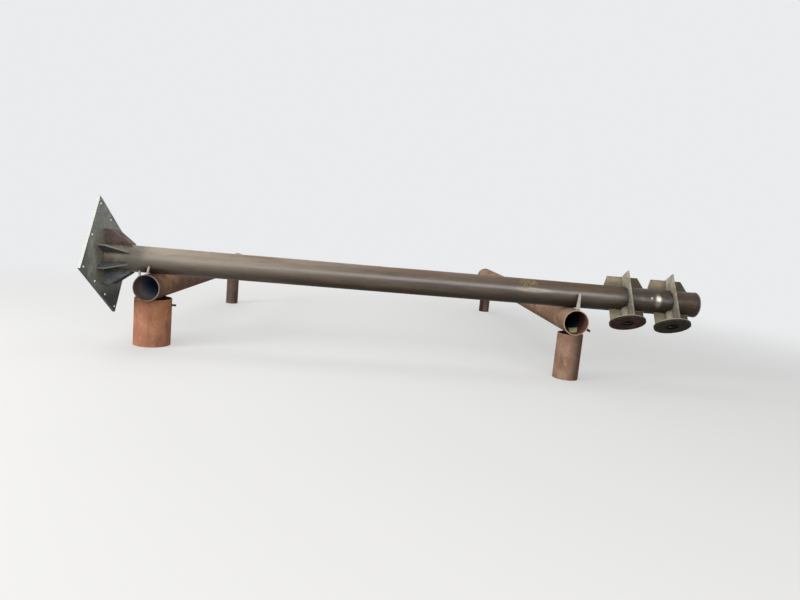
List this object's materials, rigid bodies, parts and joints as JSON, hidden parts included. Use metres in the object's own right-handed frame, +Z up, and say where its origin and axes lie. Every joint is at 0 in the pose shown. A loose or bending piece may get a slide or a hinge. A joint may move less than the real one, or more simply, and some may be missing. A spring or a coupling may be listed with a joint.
{
  "type": "cantilever sign gantry post on pipe trestles",
  "caption": "Unpainted steel post of a cantilever sign gantry, with gusseted base plate and flanged arm brackets, lying on two pipe trestles.",
  "frame": {"origin": "on the floor, under the middle of the whole outline", "axes": "+X along the post from its base plate to its top end, +Y away from the viewer along the trestle beams, +Z up"},
  "size_m": [6.33, 5.492, 1.5191],
  "materials": {
    "mill_scale_tube": "mill scale with light rust",
    "base_steel": "grey mill scale, cut edges bright",
    "bracket_steel": "dusty light rust",
    "flange_steel": "dark turned steel with red-brown rust",
    "rusty_leg_pipe": "orange-brown rust",
    "rusty_beam_pipe": "dark red-brown rust",
    "bare_bar": "bright bare steel"
  },
  "bodies": {
    "root": {"arm_flange_1": "flange_steel", "arm_flange_2": "flange_steel", "arm_stub_1": "bracket_steel", "arm_stub_2": "bracket_steel", "arm_web_lower_1": "bracket_steel", "arm_web_lower_2": "bracket_steel", "arm_web_upper_1": "bracket_steel", "arm_web_upper_2": "bracket_steel", "back_web_lower_1": "bracket_steel", "back_web_lower_2": "bracket_steel", "back_web_upper_1": "bracket_steel", "back_web_upper_2": "bracket_steel", "base_gusset_1": "base_steel", "base_gusset_2": "base_steel", "base_gusset_3": "base_steel", "base_gusset_4": "base_steel", "base_gusset_5": "base_steel", "base_gusset_6": "base_steel", "base_gusset_7": "base_steel", "base_gusset_8": "base_steel", "base_plate": "base_steel", "left_beam": "rusty_beam_pipe", "left_front_leg": "rusty_leg_pipe", "left_leg_lug": "bare_bar", "left_rear_leg": "rusty_leg_pipe", "left_stop_pin_1": "bare_bar", "left_stop_pin_2": "bare_bar", "post_cap": "mill_scale_tube", "post_tube": "mill_scale_tube", "right_beam": "rusty_beam_pipe", "right_beam_lug": "bare_bar", "right_front_leg": "rusty_leg_pipe", "right_rear_leg": "rusty_leg_pipe", "right_stop_plate": "bare_bar", "ring_plate_1": "bracket_steel", "ring_plate_2": "bracket_steel"}
  },
  "joints": []
}
